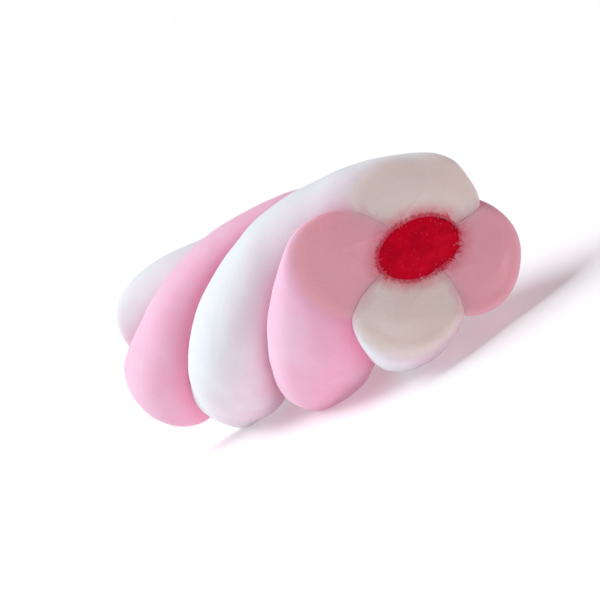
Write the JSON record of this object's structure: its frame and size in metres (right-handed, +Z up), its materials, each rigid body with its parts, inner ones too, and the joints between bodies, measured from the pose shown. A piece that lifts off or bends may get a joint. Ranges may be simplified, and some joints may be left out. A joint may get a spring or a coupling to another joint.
{
  "type": "filled marshmallow twist",
  "caption": "Soft marshmallow rope of pink and white strands wound left-handed round a red fruit jelly core, cut off on the slant at both ends and lying on its side.",
  "frame": {"origin": "on the surface that the twist lies on, under the middle of its bounding box", "axes": "+X along the axis of the twist towards its near cut, +Z up"},
  "size_m": [0.0668, 0.0282, 0.0268],
  "materials": {
    "white_marshmallow": "soft matt marshmallow foam, dusted with starch",
    "pink_marshmallow": "soft matt marshmallow foam, dusted with starch",
    "fruit_jelly": "moist, slightly shiny fruit jelly"
  },
  "bodies": {
    "root": {"white_strand_upper": "white_marshmallow", "pink_strand_back": "pink_marshmallow", "white_strand_lower": "white_marshmallow", "pink_strand_front": "pink_marshmallow", "jelly_core": "fruit_jelly"}
  },
  "joints": []
}
